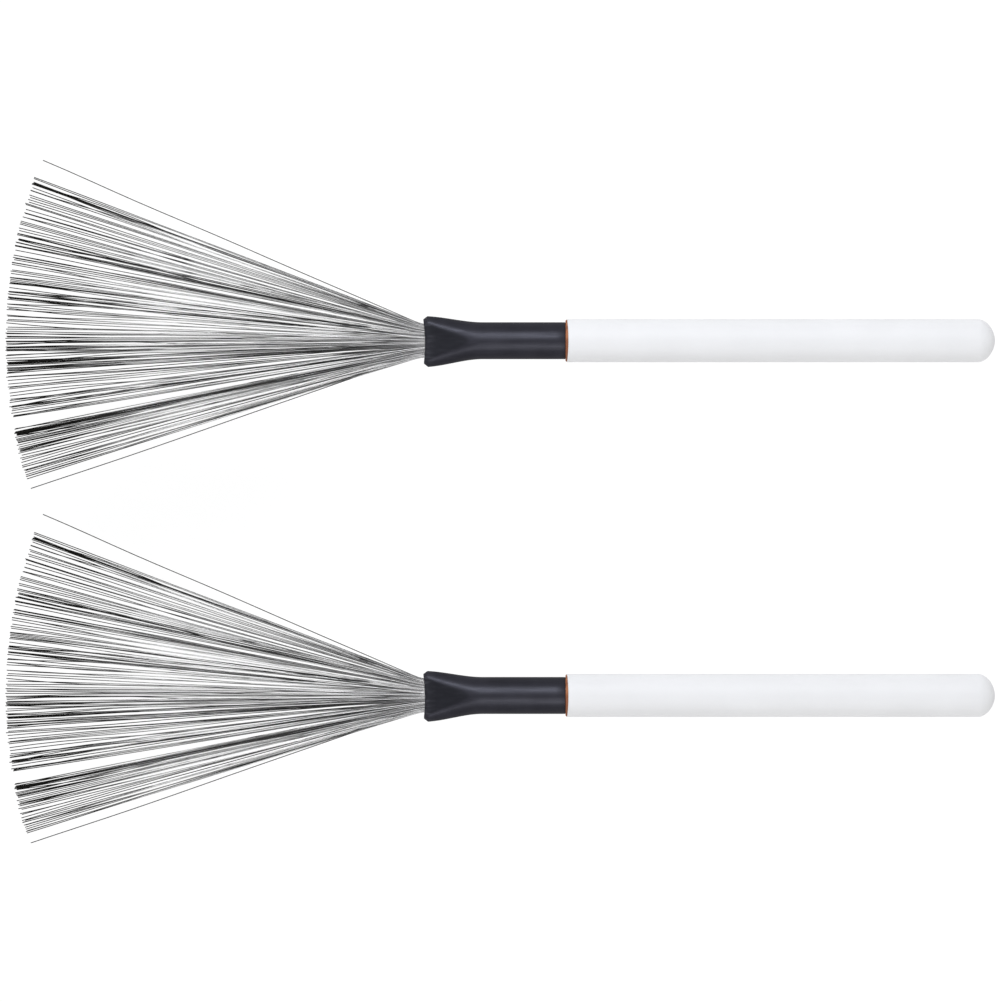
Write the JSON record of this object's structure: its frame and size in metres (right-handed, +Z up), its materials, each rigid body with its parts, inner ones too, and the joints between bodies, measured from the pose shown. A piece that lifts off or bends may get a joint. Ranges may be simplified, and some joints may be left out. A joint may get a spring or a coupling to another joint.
{
  "type": "drum brush pair",
  "caption": "Pair of fixed-fan wire drum brushes: white domed handles, black ferrules pressed flat at the mouth, and spreading springy steel wires.",
  "frame": {"origin": "on the table, under the middle of the pair's box", "axes": "+X along the handles towards their butts, so the wires point to -X; +Y across, from brush b to brush a; +Z up"},
  "size_m": [0.3299, 0.2286, 0.0144],
  "materials": {
    "white_lacquer": "smooth white gloss",
    "bare_wood": "bare reddish-brown end grain",
    "black_sleeve": "semi-gloss navy-black vinyl",
    "tube_metal": "drawn",
    "spring_wire": "drawn spring wire",
    "pin_steel": "ground",
    "crimp_brass": "plain",
    "amber_glue": "cured epoxy"
  },
  "bodies": {
    "brush_a": {"handle_jacket_a": "white_lacquer", "handle_core_a": "bare_wood", "ferrule_sleeve_a": "black_sleeve", "mouth_tube_a": "tube_metal", "anchor_pin_a": "pin_steel", "crimp_collar_a": "crimp_brass", "glue_plug_a": "amber_glue", "wire_roots_a": "spring_wire"},
    "fan_a1": {"wires_1_a": "spring_wire"},
    "fan_a2": {"wires_2_a": "spring_wire"},
    "fan_a3": {"wires_3_a": "spring_wire"},
    "fan_a4": {"wires_4_a": "spring_wire"},
    "fan_a5": {"wires_5_a": "spring_wire"},
    "fan_a6": {"wires_6_a": "spring_wire"},
    "brush_b": {"handle_jacket_b": "white_lacquer", "handle_core_b": "bare_wood", "ferrule_sleeve_b": "black_sleeve", "mouth_tube_b": "tube_metal", "anchor_pin_b": "pin_steel", "crimp_collar_b": "crimp_brass", "glue_plug_b": "amber_glue", "wire_roots_b": "spring_wire"},
    "fan_b1": {"wires_1_b": "spring_wire"},
    "fan_b2": {"wires_2_b": "spring_wire"},
    "fan_b3": {"wires_3_b": "spring_wire"},
    "fan_b4": {"wires_4_b": "spring_wire"},
    "fan_b5": {"wires_5_b": "spring_wire"},
    "fan_b6": {"wires_6_b": "spring_wire"}
  },
  "joints": [
    {"name": "flex_a1", "type": "hinge", "parent": "brush_a", "child": "fan_a1", "pos_m": [-0.0468, 0.0539, 0.0072], "axis": [0, 1, 0], "range_deg": [-30, 30], "stiffness_Nm_per_rad": 0.06},
    {"name": "flex_a2", "type": "hinge", "parent": "brush_a", "child": "fan_a2", "pos_m": [-0.0468, 0.0539, 0.0072], "axis": [0, 1, 0], "range_deg": [-30, 30], "stiffness_Nm_per_rad": 0.06},
    {"name": "flex_a3", "type": "hinge", "parent": "brush_a", "child": "fan_a3", "pos_m": [-0.0468, 0.0539, 0.0072], "axis": [0, 1, 0], "range_deg": [-30, 30], "stiffness_Nm_per_rad": 0.06},
    {"name": "flex_a4", "type": "hinge", "parent": "brush_a", "child": "fan_a4", "pos_m": [-0.0468, 0.0539, 0.0072], "axis": [0, 1, 0], "range_deg": [-30, 30], "stiffness_Nm_per_rad": 0.06},
    {"name": "flex_a5", "type": "hinge", "parent": "brush_a", "child": "fan_a5", "pos_m": [-0.0468, 0.0539, 0.0072], "axis": [0, 1, 0], "range_deg": [-30, 30], "stiffness_Nm_per_rad": 0.06},
    {"name": "flex_a6", "type": "hinge", "parent": "brush_a", "child": "fan_a6", "pos_m": [-0.0468, 0.0539, 0.0072], "axis": [0, 1, 0], "range_deg": [-30, 30], "stiffness_Nm_per_rad": 0.06},
    {"name": "lift_b", "type": "slide", "parent": "brush_a", "child": "brush_b", "axis": [0, 0, 1], "range_m": [0, 0.15]},
    {"name": "flex_b1", "type": "hinge", "parent": "brush_b", "child": "fan_b1", "pos_m": [-0.0468, -0.0646, 0.0072], "axis": [0, 1, 0], "range_deg": [-30, 30], "stiffness_Nm_per_rad": 0.06},
    {"name": "flex_b2", "type": "hinge", "parent": "brush_b", "child": "fan_b2", "pos_m": [-0.0468, -0.0646, 0.0072], "axis": [0, 1, 0], "range_deg": [-30, 30], "stiffness_Nm_per_rad": 0.06},
    {"name": "flex_b3", "type": "hinge", "parent": "brush_b", "child": "fan_b3", "pos_m": [-0.0468, -0.0646, 0.0072], "axis": [0, 1, 0], "range_deg": [-30, 30], "stiffness_Nm_per_rad": 0.06},
    {"name": "flex_b4", "type": "hinge", "parent": "brush_b", "child": "fan_b4", "pos_m": [-0.0468, -0.0646, 0.0072], "axis": [0, 1, 0], "range_deg": [-30, 30], "stiffness_Nm_per_rad": 0.06},
    {"name": "flex_b5", "type": "hinge", "parent": "brush_b", "child": "fan_b5", "pos_m": [-0.0468, -0.0646, 0.0072], "axis": [0, 1, 0], "range_deg": [-30, 30], "stiffness_Nm_per_rad": 0.06},
    {"name": "flex_b6", "type": "hinge", "parent": "brush_b", "child": "fan_b6", "pos_m": [-0.0468, -0.0646, 0.0072], "axis": [0, 1, 0], "range_deg": [-30, 30], "stiffness_Nm_per_rad": 0.06}
  ]
}
